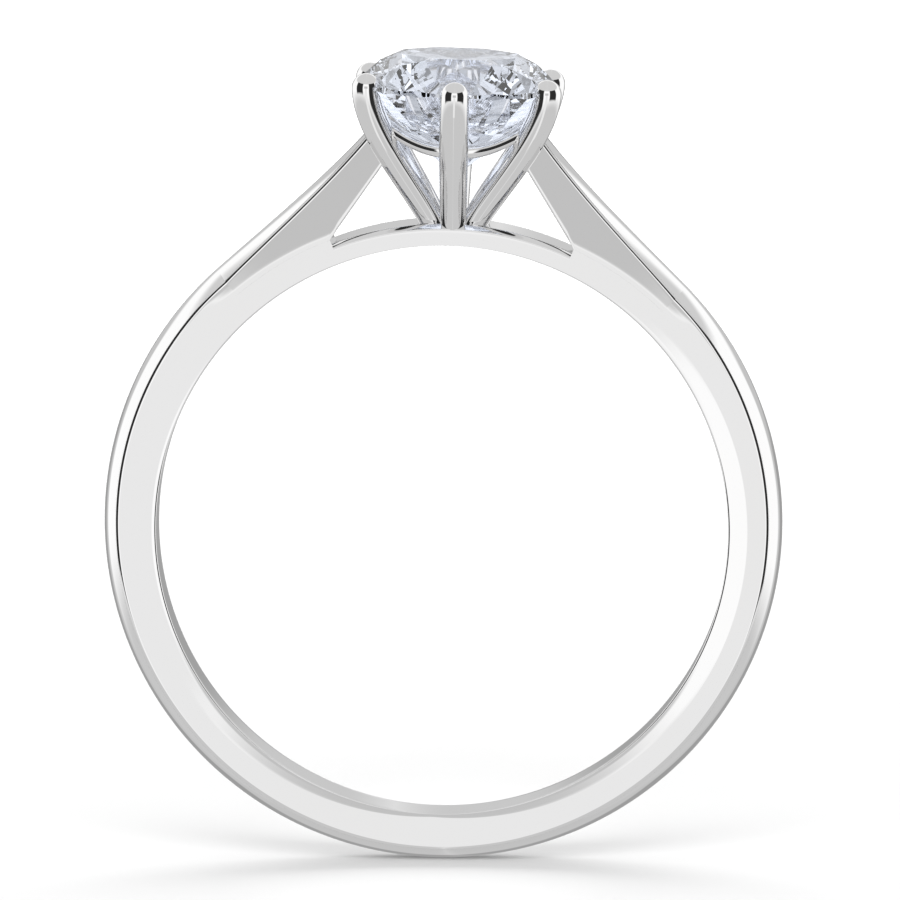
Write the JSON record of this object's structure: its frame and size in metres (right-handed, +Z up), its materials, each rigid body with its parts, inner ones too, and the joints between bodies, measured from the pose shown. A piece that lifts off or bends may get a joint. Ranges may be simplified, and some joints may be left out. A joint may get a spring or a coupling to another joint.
{
  "type": "engagement ring",
  "caption": "Solitaire finger ring: a domed hoop whose raised shoulders and finger rail carry a claw head with a round brilliant stone.",
  "frame": {"origin": "centre of the finger bore, at the middle of the band's width", "axes": "+Y along the finger bore, away from the viewer of the ring's front; +Z up to the stone; +X to the right shoulder"},
  "size_m": [0.0196, 0.0068, 0.0233],
  "materials": {
    "band_metal": "mirror polished platinum",
    "head_metal": "mirror polished platinum",
    "diamond": "polished facets, colourless, high refraction"
  },
  "bodies": {
    "root": {"shank": "band_metal", "bridge": "band_metal", "left_shoulder": "band_metal", "right_shoulder": "band_metal", "claw_front": "head_metal", "claw_back": "head_metal", "claw_front_left": "head_metal", "claw_front_right": "head_metal", "claw_back_left": "head_metal", "claw_back_right": "head_metal", "gallery_rail": "head_metal", "head_peg": "head_metal", "diamond": "diamond"}
  },
  "joints": []
}
